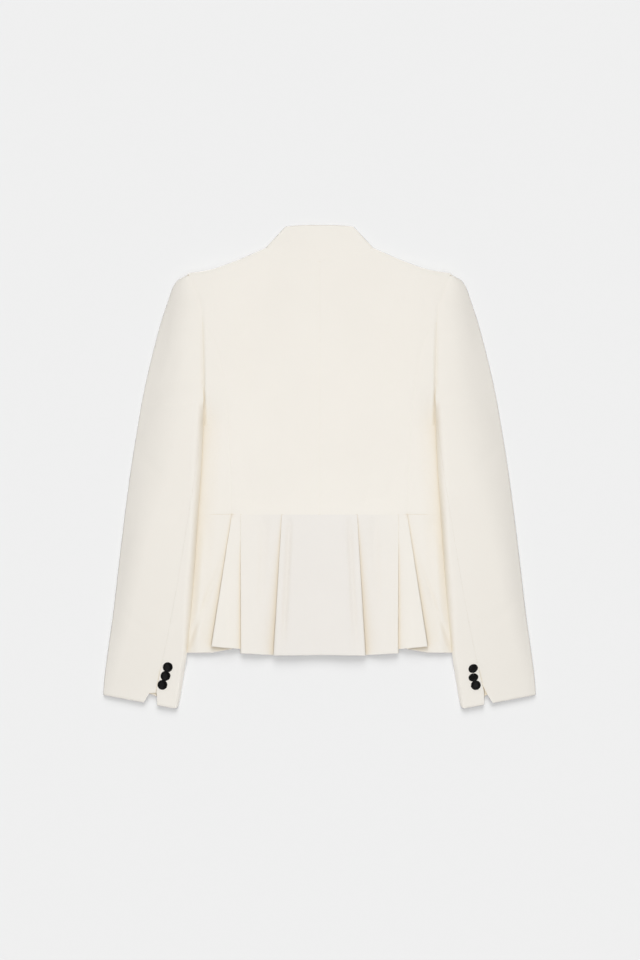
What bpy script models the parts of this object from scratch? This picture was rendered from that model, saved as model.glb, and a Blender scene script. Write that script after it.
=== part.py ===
"""Fitted blazer with a pleated back peplum, laid out flat with its back up.

The blazer lies on z = 0 with its fronts down. +Y runs from the hem to the collar, +X across the
back, and the origin is under the middle of its outline. Sizes are in millimetres until a mesh is made.
"""

import math

import bmesh
import bpy
import numpy as np

for item in list(bpy.data.objects):
    bpy.data.objects.remove(item, do_unlink=True)


def columns(names, *rows):
    """A short table with a row for each section or fold and a name for each column."""
    return dict(zip(names.split(), np.array(rows, float).T))


# Driving sizes
MM = 0.001
SEAM = 0.3  # gap left between two pieces that are sewn together
FRONT_WALL = 2.0
BACK_WALL = 2.2
BACK_EASE = 0.1  # the back lies this much higher than a bare seam gap above the fronts
SLEEVE_WALL = 3.0
COLLAR_WALL = 2.0
PLEAT_WALL = 1.4
WAIST_Y = -67.9
NECK_Y = 293.0  # centre of the back neck seam
COLLAR_TOP_Y = 345.3
COLLAR_CORNER = (47.9, 343.2)
NECK_POINT = (75.8, 313.0)
SHOULDER_TIP = (187.3, 277.4)
FRONT_NECK_Y = 268.0
BACK_NECK = columns("x y", (0, NECK_Y), (32, 296.5), NECK_POINT)
SHOULDER = columns("x y", NECK_POINT, (88.7, 307.4), (123, 293), (158, 281.8), SHOULDER_TIP)
FRONT_LAP = 12.0  # each front reaches this far past the middle
FRONT_NECK = columns("x y", (-FRONT_LAP, FRONT_NECK_Y), (30, 280), NECK_POINT)
LAP_SLOPE = 22.0  # width over which the upper front comes down to the floor
FRONT_HEM_Y = -264.0
FRONT_RAISE = SEAM + FRONT_WALL  # the upper front climbs over the lower one

# Collar band, pressed flat: how much its top edge lies lower than the neck seam, behind and in front
COLLAR_FALL = 2.4
COLLAR_FRONT_DIP = 9.0
COLLAR_ROWS = 5
COLLAR_SHARES = (0, 0.25, 0.5, 0.75, 0.93)

# Body edges: the back armhole, the hidden lower armhole, and the curved back seam
ARMHOLE = columns("x y", SHOULDER_TIP, (181.1, 262), (176, 250), (168.6, 228), (166.6, 205), (166.6, 96))
UNDERARM = columns("x y", (166.6, 96), (172, 84), (190, 66), (215, 53))
BACK_SEAM = columns("x y", (125.8, WAIST_Y), (127.3, -4), (133, 96), (147.3, 174.5), (166.6, 205))
SIDE_SEAM = columns("x y", (185, WAIST_Y), (197, -5), (215, 53))
PEPLUM_SIDE = columns("x y", (185, WAIST_Y), (225, -266))

# Heights of the body
SHOULDER_PAD = 8.0
PAD_START_X = 40.0
PAD_FULL_X = 170.0
PAD_REACH = 105.0  # how far the padding runs down from the shoulder line
PAD_ROUND = 9.0  # width of the rounded edge along the shoulder line
PAD_EDGE = 0.25  # share of the padding that is left at the shoulder line itself
ARMHOLE_SWELL = 2.0  # the back stands this much higher along the armhole
SWELL_START = (120.0, 90.0)
SWELL_WIDTH = 42.0
WAIST_BULK = 1.9  # the waist seam is thicker, over the pleats that are sewn into it
WAIST_BULK_REACH = 26.0
WAIST_BULK_X = (100.0, 128.0)

# Sleeve edges and heights, a row for each section
SLEEVE = columns(
    "y inner outer crest",
    (276.4, 187.0, 196.0, 7.2),
    (267, 182.8, 204.7, 11.0),
    (257, 178.7, 210.4, 14.2),
    (239, 171.9, 217.4, 17.0),
    (205, 166.6, 229.4, 18.4),
    (136, 166.6, 245.9, 18.4),
    (96, 166.6, 254.6, 18.2),
    (67, 167.0, 259.0, 18.0),
    (0, 170.0, 270.0, 17.6),
    (-70, 173.9, 279.6, 17.0),
    (-139, 178.0, 288.0, 16.2),
    (-207, 184.7, 297.0, 15.2),
    (-276, 192.3, 306.0, 12.8),
    (-346, 203.6, 309.6, 9.6),
)
SLEEVE_GAP = 0.6  # least that the two faces of a sleeve lie apart
SLEEVE_EDGE = 2 * SLEEVE_WALL + SLEEVE_GAP  # thickness at the outer fold
SLEEVE_CREST = 0.3  # share of the width where the sleeve is highest
SLEEVE_FALL = 0.75  # how roundly it falls from there to the outer fold
FOLD_DIP = 1.4  # the inner fold lies this much below the crest
SLEEVE_LIFT = 8.0  # height of the lower face over the side of the body
LIFT_CLEAR = 4.0  # the lower face stays up this far past the body's edge
LIFT_SLOPES = {"side": 50.0, "hem": 30.0, "armhole": 25.0}  # widths of its way down to the floor
TURN_REACH = 6.0  # reach of the inside's turn at a fold
SET_IN = columns("y share", (92, 0), (132, 1))  # above this the sleeve runs flush into the armhole
INNER_DROP = columns("y drop", (-326, 20.4), (-100, 12), (40, 4), (96, 0), (276, 0))
CUFF_Y = -326.2
VENT_TOP_Y = -306.0
SEAMS = columns(
    "y front back_top back_under",
    (276, 0, 0, 0),
    (96, 0, 0, 0),
    (40, 0.16, 0.043, 0.043),
    (-264, 0.30, 0.29, 0.29),
    (VENT_TOP_Y, 0.30, 0.315, 0.315),
    (CUFF_Y, 0.30, 0.447, 0.277),
)
SLEEVE_STATIONS = (276.2, 272, 266, 257, 239, 205, 170, 136, 118, 106, 96.5, 88, 76, 62, 50, 30, 0,
                   -50, -100, -150, -200, -250, -268, -284, -297, VENT_TOP_Y, CUFF_Y)
UNDER_SLEEVE_START = 88
WIDE_GAP_Y = 40.0  # above this the sleeve's seams turn round its inner fold and need a wider gap
WIDE_GAP = 3.0
UNDER_HEM_INSET = 12.0  # the lower face of a cuff is shorter than the upper one
CUFF_CORNER = 6.5  # rise of the rounded inner corner of the cuff

# Pleats of the back peplum, a row for each fold from the middle outwards
FOLDS = columns(
    "waist_x hem_x waist_depth hem_depth waist_z hem_z waist_radius hem_radius hem_y return_y",
    (54.3, 65.8, 6.0, 15.0, 7.5, 10.6, 1.05, 1.5, -269.5, -266.5),
    (112.6, 112.6, 4.5, 17.0, 7.4, 9.9, 1.05, 1.5, -267.7, -265.5),
    (125.0, 154.2, 4.5, 19.0, 7.4, 9.4, 1.05, 1.5, -256.4, -264.5),
)
FOLD_TURNS = np.radians([90, 45, 0, -45, -90])
PEPLUM_MIDDLE = {"waist_z": 7.5, "hem_z": 9.7, "hem_y": -268.9}
PEPLUM_EDGE = {"waist_z": 3.1, "hem_z": 3.1, "hem_y": -265.6}
FOLD_START_Y = (PEPLUM_MIDDLE["hem_y"], -269.0, -260.5, PEPLUM_EDGE["hem_y"])  # hem where each panel starts
PANEL_STEPS = (0.3, 0.6, 0.88)
PEPLUM_ROWS = (0, 0.06, 0.2, 0.45, 0.75, 1)

# Cuff buttons, in a line beside the vent, each edge lapping the next
BUTTON_PLACES = columns("x y", (218.4, -287.3), (220.6, -299.9), (224.0, -312.2))
BUTTON_PROFILE = columns("r z", (0, 2.6), (4.2, 2.4), (6.2, 1.8), (7.1, 1.0), (6.6, 0.35), (5.5, 0), (0, 0))
BUTTON_TILT = math.radians(8)
BUTTON_SIDES = 24
BUTTON_SEAT = 0.4

# Colours
CREAM = (0.86, 0.83, 0.76)
CREAM_SHADE = (0.80, 0.77, 0.70)
BLACK = (0.012, 0.011, 0.011)
CLOTH_ROUGHNESS = 0.85
BUTTON_ROUGHNESS = 0.45
SHARP_ANGLE = math.radians(40)  # edges that turn more than this are shown sharp


def ease(value):
    """Runs smoothly from 0 to 1."""
    value = np.clip(value, 0, 1)
    return value * value * (3 - 2 * value)


def rounded(value):
    """A quarter circle that rises from 0 to 1 and stays there."""
    value = np.clip(value, 0, 1)
    return np.sqrt(1 - (1 - value) ** 2)


def read(places, values, at):
    """Reads a table between its rows on smooth curves that don't overshoot."""
    order = np.argsort(places)
    x, y = np.asarray(places)[order], np.asarray(values)[order]
    step = np.diff(x)
    rise = np.diff(y) / step
    slope = np.concatenate([rise[:1], np.zeros(len(rise) - 1), rise[-1:]])
    same = rise[:-1] * rise[1:] > 0
    slope[1:-1][same] = 2 / (1 / rise[:-1][same] + 1 / rise[1:][same])
    at = np.clip(at, x[0], x[-1])
    i = np.clip(np.searchsorted(x, at) - 1, 0, len(step) - 1)
    t = (at - x[i]) / step[i]
    start = (1 + 2 * t) * (1 - t) ** 2 * y[i] + t * (1 - t) ** 2 * step[i] * slope[i]
    return start + t * t * (3 - 2 * t) * y[i + 1] - t * t * (1 - t) * step[i] * slope[i + 1]


def trace(points, steps):
    """A smooth line through a few points, with each stretch cut into equal steps."""
    points = np.array(points, float)
    padded = np.concatenate([2 * points[:1] - points[1:2], points, 2 * points[-1:] - points[-2:-1]])
    line = []
    for a, b, c, d in zip(padded, padded[1:], padded[2:], padded[3:]):
        for t in np.arange(steps) / steps:
            bend = (2 * a - 5 * b + 4 * c - d) * t + (3 * b - a - 3 * c + d) * t * t
            line.append(b + 0.5 * t * (c - a + bend))
    return np.array(line + [points[-1]])


def pairs(table):
    return list(zip(table["x"], table["y"]))


def join(*lines):
    """Joins lines end to end, so that the corners between them stay sharp."""
    return np.concatenate([line[:-1] for line in lines[:-1]] + [lines[-1]])


def straight(start, end, count):
    return np.linspace(start, end, count)


def evenly(line, count):
    """The same line cut into even steps."""
    run = np.concatenate([[0], np.cumsum(np.linalg.norm(np.diff(line, axis=0), axis=1))])
    at = np.linspace(0, run[-1], count)
    return np.stack([np.interp(at, run, line[:, k]) for k in range(2)], axis=-1)


def patch(bottom, top, inner, outer):
    """Fills four edge lines with a grid of points in plan, rows from bottom to top."""
    u = np.linspace(0, 1, len(bottom))[None, :, None]
    v = np.linspace(0, 1, len(inner))[:, None, None]
    across = (1 - u) * inner[:, None] + u * outer[:, None]
    along = (1 - v) * bottom[None] + v * top[None]
    corners = (1 - v) * ((1 - u) * bottom[0] + u * bottom[-1]) + v * ((1 - u) * top[0] + u * top[-1])
    return across + along - corners


def finish(name, colour, roughness):
    """A material of its own for one piece."""
    material = bpy.data.materials.new(name + "_finish")
    material.use_nodes = True
    shader = material.node_tree.nodes["Principled BSDF"]
    shader.inputs["Base Color"].default_value = (*colour, 1)
    shader.inputs["Roughness"].default_value = roughness
    shader.inputs["Metallic"].default_value = 0
    return material


def add_object(name, points, faces, colour, roughness=CLOTH_ROUGHNESS):
    """Makes a mesh object from points in millimetres, with its faces turned outwards."""
    mesh = bpy.data.meshes.new(name)
    mesh.from_pydata((np.asarray(points) * MM).tolist(), [], faces)
    work = bmesh.new()
    work.from_mesh(mesh)
    bmesh.ops.recalc_face_normals(work, faces=work.faces[:])
    work.to_mesh(mesh)
    work.free()
    mesh.shade_smooth()
    mesh.set_sharp_from_angle(angle=SHARP_ANGLE)
    mesh.materials.append(finish(name, colour, roughness))
    bpy.context.scene.collection.objects.link(bpy.data.objects.new(name, mesh))


def wall(name, outside, inside, colour=CREAM):
    """Closes two matching grids, the two faces of a wall of cloth, into one solid."""
    rows, count = outside.shape[:2]
    near = np.arange(rows * count).reshape(rows, count)
    far = near + rows * count
    faces = []
    for grid in (near, far[:, ::-1]):
        quads = np.stack([grid[:-1, :-1], grid[:-1, 1:], grid[1:, 1:], grid[1:, :-1]], axis=-1)
        faces += quads.reshape(-1, 4).tolist()
    rim = np.concatenate([near[0, :-1], near[:-1, -1], near[-1, :0:-1], near[:0:-1, 0]])
    for a, b in zip(rim.tolist(), np.roll(rim, -1).tolist()):
        faces.append([b, a, a + rows * count, b + rows * count])
    add_object(name, np.concatenate([outside.reshape(-1, 3), inside.reshape(-1, 3)]), faces, colour)


def both_sides(name, outside, inside, colour=CREAM):
    """Builds a piece on the right and its mirror image on the left."""
    mirror = np.array([-1, 1, 1])
    wall(name + "_right", outside, inside, colour)
    wall(name + "_left", outside * mirror, inside * mirror, colour)


def with_height(plan, height):
    return np.concatenate([plan, np.broadcast_to(height, plan.shape[:2])[..., None]], axis=-1)


def front_raise(x):
    """How far the upper front is raised where it crosses the lower one at the middle."""
    return FRONT_RAISE * (1 - ease((np.abs(x) - 2 * FRONT_LAP) / LAP_SLOPE))


def shoulder_y(x):
    return read(SHOULDER["x"], SHOULDER["y"], x)


def back_underside(x, y):
    """Height of the inside of the back, clear of the fronts and of their lap."""
    lap = FRONT_RAISE * (1 - ease((np.abs(x) - 3 * FRONT_LAP) / LAP_SLOPE))
    beside_armhole = ease((x - SWELL_START[0]) / SWELL_WIDTH) * ease((y - SWELL_START[1]) / SWELL_WIDTH)
    return FRONT_WALL + SEAM + BACK_EASE + lap + ARMHOLE_SWELL * beside_armhole


def shoulder_pad(x, y):
    """Padding that swells towards the shoulder tip and rounds off along the shoulder line."""
    below = shoulder_y(x) - y
    towards_tip = ease((x - PAD_START_X) / (PAD_FULL_X - PAD_START_X))
    edge = PAD_EDGE + (1 - PAD_EDGE) * rounded(below / PAD_ROUND)
    return SHOULDER_PAD * towards_tip * edge * (1 - ease(below / PAD_REACH))


def back_top(x, y):
    """Height of the outside of the back."""
    near_waist = 1 - ease((y - WAIST_Y) / WAIST_BULK_REACH)
    over_pleats = 1 - ease((x - WAIST_BULK_X[0]) / (WAIST_BULK_X[1] - WAIST_BULK_X[0]))
    return back_underside(x, y) + BACK_WALL + shoulder_pad(x, y) + WAIST_BULK * near_waist * over_pleats


def armhole_line(low, high, count):
    """The back armhole as points, from the lower place to the higher one."""
    y = np.linspace(low, high, count)
    return np.stack([read(ARMHOLE["y"], ARMHOLE["x"], y), y], axis=-1)


def edge_line(table, count):
    """A neck or shoulder edge as points, evenly spaced across."""
    x = np.linspace(table["x"][0], table["x"][-1], count)
    return np.stack([x, read(table["x"], table["y"], x)], axis=-1)


def inset(plan):
    """Draws a grid in plan in by half a seam gap on each side."""
    drawn = plan.copy()
    sides = ((0, 1), (-1, -2))
    for axis in (0, 1):
        along, moved = plan.swapaxes(0, axis), drawn.swapaxes(0, axis)
        for edge, beside in sides:
            way = along[beside] - along[edge]
            moved[edge] += way / np.linalg.norm(way, axis=-1, keepdims=True) * SEAM / 2
    return drawn


def make_backs():
    """The two centre backs, from the middle seam to the curved back seam and the armhole."""
    seam_top, pad_edge = BACK_SEAM["y"][-1], SHOULDER_TIP[1] - 2 * PAD_ROUND
    outer = join(trace(pairs(BACK_SEAM), 3), armhole_line(seam_top, pad_edge, 6),
                 armhole_line(pad_edge, SHOULDER_TIP[1], 5))
    top = join(edge_line(BACK_NECK, 5), edge_line(SHOULDER, 8))
    inner = straight((0, WAIST_Y), (0, NECK_Y), len(outer))
    bottom = straight((0, WAIST_Y), outer[0], len(top))
    plan = inset(patch(bottom, top, inner, outer))
    x, y = plan[..., 0], plan[..., 1]
    both_sides("back", with_height(plan, back_top(x, y)), with_height(plan, back_underside(x, y)))


def make_side_backs():
    """The side backs, from the curved back seam to the side seam, partly under the sleeves."""
    inner = trace(pairs(BACK_SEAM), 3)
    outer = evenly(trace(pairs(SIDE_SEAM), 6), len(inner))
    lower_armhole = trace(pairs(UNDERARM), 2)
    top = join(armhole_line(UNDERARM["y"][0], BACK_SEAM["y"][-1], 5)[::-1], lower_armhole)
    bottom = straight(inner[0], outer[0], len(top))
    plan = inset(patch(bottom, top, inner, outer))
    x, y = plan[..., 0], plan[..., 1]
    both_sides("side_back", with_height(plan, back_top(x, y)), with_height(plan, back_underside(x, y)))


def lap_faces(plan, raised):
    """Both faces of a front, with the upper one raised over the lower one."""
    base = front_raise(plan[..., 0]) if raised else np.zeros(plan.shape[:2])
    return with_height(plan, base + FRONT_WALL), with_height(plan, base)


def make_fronts():
    """The hidden fronts, plain and flat, and the plain peplums below them."""
    lower_armhole = trace(pairs(UNDERARM), 2)[::-1]
    back_armhole = armhole_line(UNDERARM["y"][0], SHOULDER_TIP[1], 10)
    outer = join(trace(pairs(SIDE_SEAM), 3), lower_armhole, back_armhole)
    top = join(edge_line(FRONT_NECK, 6), edge_line(SHOULDER, 6))
    inner = straight((-FRONT_LAP, WAIST_Y), (-FRONT_LAP, FRONT_NECK["y"][0]), len(outer))
    body = inset(patch(straight(inner[0], outer[0], len(top)), top, inner, outer))
    rows = np.linspace(WAIST_Y, FRONT_HEM_Y, 4)
    slope = np.linspace(2 * FRONT_LAP, 2 * FRONT_LAP + LAP_SLOPE, 5)
    across = np.concatenate([[-FRONT_LAP, FRONT_LAP], slope])
    edge = read(PEPLUM_SIDE["y"], PEPLUM_SIDE["x"], rows)
    skirt_x = np.concatenate([np.tile(across, (len(rows), 1)), edge[:, None]], axis=1)
    skirt_y = np.broadcast_to(rows[:, None], skirt_x.shape)
    skirt = inset(np.stack([skirt_x, skirt_y], axis=-1))
    for name, plan in (("front", body), ("peplum_front", skirt)):
        wall(name + "_right", *lap_faces(plan, True), CREAM_SHADE)
        wall(name + "_left", *lap_faces(plan * np.array([-1, 1]), False), CREAM_SHADE)


def make_collar():
    """One stand-up band pressed flat: its back on top, its ends meeting under it at the middle front."""
    rise = np.linspace(0, 1, COLLAR_ROWS)  # from the neck seam to the top edge
    fold_x = NECK_POINT[0] + (COLLAR_CORNER[0] - NECK_POINT[0]) * rise
    fold_y = NECK_POINT[1] + (COLLAR_CORNER[1] - NECK_POINT[1]) * rise
    half = COLLAR_WALL / 2
    back_z = back_top(0, NECK_Y) - half - COLLAR_FALL * ease(rise)
    radius = (back_z - half) / 2
    flat_end = fold_x - radius
    band = []
    for share in COLLAR_SHARES:
        x = SEAM + flat_end * share
        low = read(FRONT_NECK["x"], FRONT_NECK["y"], x[0]) + 2 * SEAM
        top = COLLAR_CORNER[1] - COLLAR_FRONT_DIP * (1 - share ** 2)
        band.append((x, low + (top - low) * rise, np.full_like(rise, half)))
    for turn in FOLD_TURNS[::-1]:
        band.append((flat_end + radius * np.cos(turn), fold_y, half + radius * (1 + np.sin(turn))))
    for share in COLLAR_SHARES[::-1]:
        x = flat_end * share
        low = read(BACK_NECK["x"], BACK_NECK["y"], x[0]) + 2 * SEAM
        top = COLLAR_TOP_Y + (COLLAR_CORNER[1] - COLLAR_TOP_Y) * share ** 3
        band.append((x, low + (top - low) * rise, back_z))
    right = np.array(band).swapaxes(1, 2)
    left = right[-2::-1] * np.array([-1, 1, 1])
    wall("collar", *thicken(np.concatenate([right, left]), COLLAR_WALL))


def thicken(middle, thickness):
    """Moves a grid of middle points out and in by half a wall, square to each section in x and z."""
    way = np.gradient(middle, axis=0)
    normal = np.stack([-way[..., 2], np.zeros(way.shape[:2]), way[..., 0]], axis=-1)
    normal *= thickness / 2 / np.linalg.norm(normal, axis=-1, keepdims=True)
    return middle + normal, middle - normal


def fold_line(edge, depth, top, radius):
    """One knife pleat in section: out to its edge, back under itself, and out again below."""
    out = [(edge - radius + radius * math.cos(a), top - radius + radius * math.sin(a)) for a in FOLD_TURNS]
    root = edge - depth
    back = [(root - radius * math.cos(a), top - 3 * radius + radius * math.sin(a)) for a in FOLD_TURNS]
    return out + back


def between(row, name, share):
    """A size of the peplum at a share of the way from waist to hem."""
    return row["waist_" + name] + (row["hem_" + name] - row["waist_" + name]) * share


def panel_line(start, goal, start_hem, goal_hem):
    """The inner points of one flat panel between two folds: x, height and own hem y."""
    return [(start[0] + (goal[0] - start[0]) * step, start[1] + (goal[1] - start[1]) * ease(step),
             start_hem + (goal_hem - start_hem) * step) for step in PANEL_STEPS]


def peplum_section(share):
    """The back peplum's middle line at a share of the way from waist to hem: x, height and own hem y."""
    line = [(0, between(PEPLUM_MIDDLE, "z", share), PEPLUM_MIDDLE["hem_y"])]
    for k, start_hem in enumerate(FOLD_START_Y[:-1]):
        fold = {key: column[k] for key, column in FOLDS.items()}
        bend = fold_line(*(between(fold, name, share) for name in ("x", "depth", "z", "radius")))
        line += panel_line(line[-1], bend[0], start_hem, fold["hem_y"])
        hems = np.interp(np.arange(len(bend)), (0, 4, 5, len(bend) - 1),
                         (fold["hem_y"], fold["return_y"], fold["return_y"], FOLD_START_Y[k + 1]))
        line += [(x, z, hem) for (x, z), hem in zip(bend, hems)]
    edge_hem = PEPLUM_EDGE["hem_y"]
    edge_x = read(PEPLUM_SIDE["y"], PEPLUM_SIDE["x"], WAIST_Y + (edge_hem - WAIST_Y) * share)
    edge = (edge_x, between(PEPLUM_EDGE, "z", share))
    line += panel_line(line[-1], edge, FOLD_START_Y[-1], edge_hem)
    return np.array(line + [(*edge, edge_hem)])


def make_peplum():
    """The pleated back peplum, one piece from side to side."""
    rows = []
    for share in PEPLUM_ROWS:
        x, z, hem = peplum_section(share).T
        right = np.stack([x, WAIST_Y - SEAM / 2 + (hem - WAIST_Y) * share, z], axis=-1)
        rows.append(np.concatenate([(right * np.array([-1, 1, 1]))[:0:-1], right]))
    wall("peplum_back", *thicken(np.array(rows).swapaxes(0, 1), PLEAT_WALL))


def sleeve_underside(x, y):
    """Height of a sleeve's lower face: on the floor, or climbing over the side of the body."""
    edge_x, edge_y = (np.concatenate([UNDERARM[key][:-1], SIDE_SEAM[key][::-1], PEPLUM_SIDE[key][1:]])
                      for key in "xy")
    beyond_side = (x - read(edge_y, edge_x, y) - LIFT_CLEAR) / LIFT_SLOPES["side"]
    below_hem = (PEPLUM_EDGE["hem_y"] - LIFT_CLEAR - y) / LIFT_SLOPES["hem"]
    above_armhole = (y - UNDERARM["y"][0] - LIFT_CLEAR) / LIFT_SLOPES["armhole"]
    return SLEEVE_LIFT * (1 - ease(np.maximum(np.maximum(beyond_side, below_hem), above_armhole)))


def sleeve_upper(x, y, share):
    """Height of a sleeve's upper face at a share of its width."""
    crest = read(SLEEVE["y"], SLEEVE["crest"], y)
    set_in = read(SET_IN["y"], SET_IN["share"], y)
    armhole = read(SLEEVE["y"], SLEEVE["inner"], y)
    start = set_in * back_top(armhole, y) + (1 - set_in) * (crest - FOLD_DIP)
    rising = start + (crest - start) * ease(share / SLEEVE_CREST)
    outwards = np.clip((share - SLEEVE_CREST) / (1 - SLEEVE_CREST), 0, 1)
    falling = SLEEVE_EDGE + (crest - SLEEVE_EDGE) * (1 - outwards ** 2) ** SLEEVE_FALL
    height = np.where(share < SLEEVE_CREST, rising, falling)
    return np.maximum(height, sleeve_underside(x, y) + SLEEVE_EDGE)


def sleeve_points(station, shares, is_upper):
    """Outer and inner points of one face of a sleeve at one section, from shares of its width."""
    end_y = station - read(INNER_DROP["y"], INNER_DROP["drop"], station)
    start = np.array([read(SLEEVE["y"], SLEEVE["inner"], end_y) + SEAM, end_y])
    end = np.array([read(SLEEVE["y"], SLEEVE["outer"], station), station])
    set_in = read(SET_IN["y"], SET_IN["share"], end_y)
    x, y = (start + (end - start) * shares[:, None]).T
    near, far = (end[0] - start[0]) * shares, (end[0] - start[0]) * (1 - shares)
    shift = SLEEVE_WALL * (np.exp(-near / TURN_REACH) * (1 - set_in) - np.exp(-far / TURN_REACH))
    low, high = sleeve_underside(x, y), sleeve_upper(x, y, shares)
    faces = []
    for move, trim in ((0, 0), (shift, SLEEVE_WALL)):
        bottom, top = low + trim, high - trim
        half = (top - bottom) / 2
        start_round = rounded((near + move - trim * (1 - set_in)) / half)
        start_round = start_round + (1 - start_round) * set_in
        half_open = half * start_round * rounded((far - move - trim) / half)
        z = (top + bottom) / 2 + (half_open if is_upper else -half_open)
        faces.append(np.stack([x + move, y, z], axis=-1))
    if station == CUFF_Y:
        lift = CUFF_CORNER * (1 - rounded(near / CUFF_CORNER))
        lift += 0 if is_upper else UNDER_HEM_INSET * np.sqrt(np.sin(math.pi * shares))
        for face in faces:
            face[:, 1] += lift
    return faces


def sleeve_seam(name, station):
    """Share of a sleeve's width where one of its seams runs."""
    return np.interp(-station, -SEAMS["y"], SEAMS[name])


def make_sleeves():
    """Both pieces of the sleeves, split at the back seam on top and the front seam underneath."""
    spread = (1 - np.cos(math.pi * np.linspace(0, 1, 11))) / 2
    turning = np.linspace(1, 0, 6) ** 2
    top_rows, under_rows = [], []
    for station in SLEEVE_STATIONS:
        width = read(SLEEVE["y"], SLEEVE["outer"], station) - read(SLEEVE["y"], SLEEVE["inner"], station)
        gap = SEAM / 2 / width * (WIDE_GAP if station > WIDE_GAP_Y else 1)
        front, back = sleeve_seam("front", station) + gap, sleeve_seam("back_top", station) + gap
        lower = sleeve_points(station, front + (1 - front) * spread, False)
        upper = sleeve_points(station, (back + (1 - back) * spread)[::-1], True)
        top_rows.append([np.concatenate([a, b[1:]]) for a, b in zip(lower, upper)])
        if station <= UNDER_SLEEVE_START:
            front, back = sleeve_seam("front", station) - gap, sleeve_seam("back_under", station) - gap
            upper = sleeve_points(station, back * turning, True)
            lower = sleeve_points(station, front * turning[::-1], False)
            under_rows.append([np.concatenate([a, b[1:]]) for a, b in zip(upper, lower)])
    for name, rows in (("top_sleeve", top_rows), ("under_sleeve", under_rows)):
        both_sides(name, *(np.array([row[k] for row in rows]) for k in range(2)))


def make_buttons():
    """Three round buttons on each cuff, tilted so that each lies over the next."""
    turns = np.arange(BUTTON_SIDES) * 2 * math.pi / BUTTON_SIDES
    radius, level = BUTTON_PROFILE["r"][1:-1], BUTTON_PROFILE["z"][1:-1]
    ring = np.stack([np.cos(turns), np.sin(turns), np.zeros(BUTTON_SIDES)], axis=-1)
    rings = ring[None] * radius[:, None, None] + np.array([0, 0, 1]) * level[:, None, None]
    points = np.concatenate([rings.reshape(-1, 3), [(0, 0, BUTTON_PROFILE["z"][0]), (0, 0, 0)]])
    grid = np.arange(len(radius) * BUTTON_SIDES).reshape(len(radius), BUTTON_SIDES)
    beside = np.roll(grid, -1, axis=1)
    faces = np.stack([grid[:-1], beside[:-1], beside[1:], grid[1:]], axis=-1).reshape(-1, 4).tolist()
    faces += [[a, b, len(points) - 2] for a, b in zip(grid[0], beside[0])]
    faces += [[b, a, len(points) - 1] for a, b in zip(grid[-1], beside[-1])]
    tilted = points.copy()
    tilted[:, 1] = points[:, 1] * math.cos(BUTTON_TILT)
    tilted[:, 2] = points[:, 2] - points[:, 1] * math.sin(BUTTON_TILT)
    for number, (x, y) in enumerate(pairs(BUTTON_PLACES), start=1):
        placed = tilted + np.array([x, y, 0])
        inner, outer = (read(SLEEVE["y"], SLEEVE[key], placed[:, 1]) for key in ("inner", "outer"))
        cloth = sleeve_upper(placed[:, 0], placed[:, 1], (placed[:, 0] - inner) / (outer - inner))
        placed[:, 2] += np.max(cloth - placed[:, 2]) + BUTTON_SEAT
        add_object(f"button_right_{number}", placed, faces, BLACK, BUTTON_ROUGHNESS)
        add_object(f"button_left_{number}", placed * np.array([-1, 1, 1]), faces, BLACK, BUTTON_ROUGHNESS)


make_backs()
make_side_backs()
make_fronts()
make_collar()
make_peplum()
make_sleeves()
make_buttons()
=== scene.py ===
import math

import bpy
import numpy as np
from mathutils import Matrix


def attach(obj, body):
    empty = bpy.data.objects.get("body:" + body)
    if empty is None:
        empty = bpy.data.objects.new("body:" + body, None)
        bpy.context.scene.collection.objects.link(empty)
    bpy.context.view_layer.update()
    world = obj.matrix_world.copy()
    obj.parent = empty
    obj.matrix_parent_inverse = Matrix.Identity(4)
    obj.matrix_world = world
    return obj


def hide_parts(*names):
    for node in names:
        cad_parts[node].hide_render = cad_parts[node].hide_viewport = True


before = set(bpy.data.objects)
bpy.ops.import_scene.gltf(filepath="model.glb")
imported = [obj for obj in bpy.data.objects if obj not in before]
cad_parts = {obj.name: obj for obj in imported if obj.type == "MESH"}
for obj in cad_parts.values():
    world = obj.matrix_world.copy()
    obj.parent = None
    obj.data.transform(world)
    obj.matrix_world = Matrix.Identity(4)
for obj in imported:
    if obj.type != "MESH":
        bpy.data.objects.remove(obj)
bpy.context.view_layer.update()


def columns(names, *rows):
    """A short table with a name for each column."""
    return dict(zip(names.split(), np.array(rows, float).T))


# Sizes of the whole blazer
MM = 0.001
SIDES = {"right": 1, "left": -1}
SEAM = 0.3
WAIST_Y = -67.9
NECK_Y = 293.0
NECK_POINT = (75.8, 313.0)
SHOULDER_TIP = (187.3, 276.0)
BACK_NECK = columns("x y", (0, NECK_Y), (32, 296.5), NECK_POINT)
SHOULDER = columns("x y", NECK_POINT, (88.7, 307.2), (123, 292.4), (158, 280.6), SHOULDER_TIP)
ARMHOLE = columns("x y", SHOULDER_TIP, (181.1, 262), (176, 250), (168.6, 228), (166.6, 205), (165.2, 96))
UNDERARM = columns("x y", (165.2, 96), (172, 84), (190, 66), (215, 53))
BACK_SEAM = columns("x y", (125.8, WAIST_Y), (127.3, -4), (133, 96), (147.3, 174.5), (166.6, 205))
SIDE_SEAM = columns("x y", (185, WAIST_Y), (197, -5), (215, 53))
PEPLUM_SIDE = columns("x y", (185, WAIST_Y), (225, -266))
PEPLUM_MIDDLE = {"waist_z": 7.4, "hem_z": 10.4, "hem_y": -267.9}
PEPLUM_EDGE = {"waist_z": 4.2, "hem_z": 5.8, "hem_y": -264.8}
WAIST_TOP = columns("x z", (0, 7.7), (45, 7.6), (75, 6.9), (105, 7.3), (135, 6.0), (190, 4.6))

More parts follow.
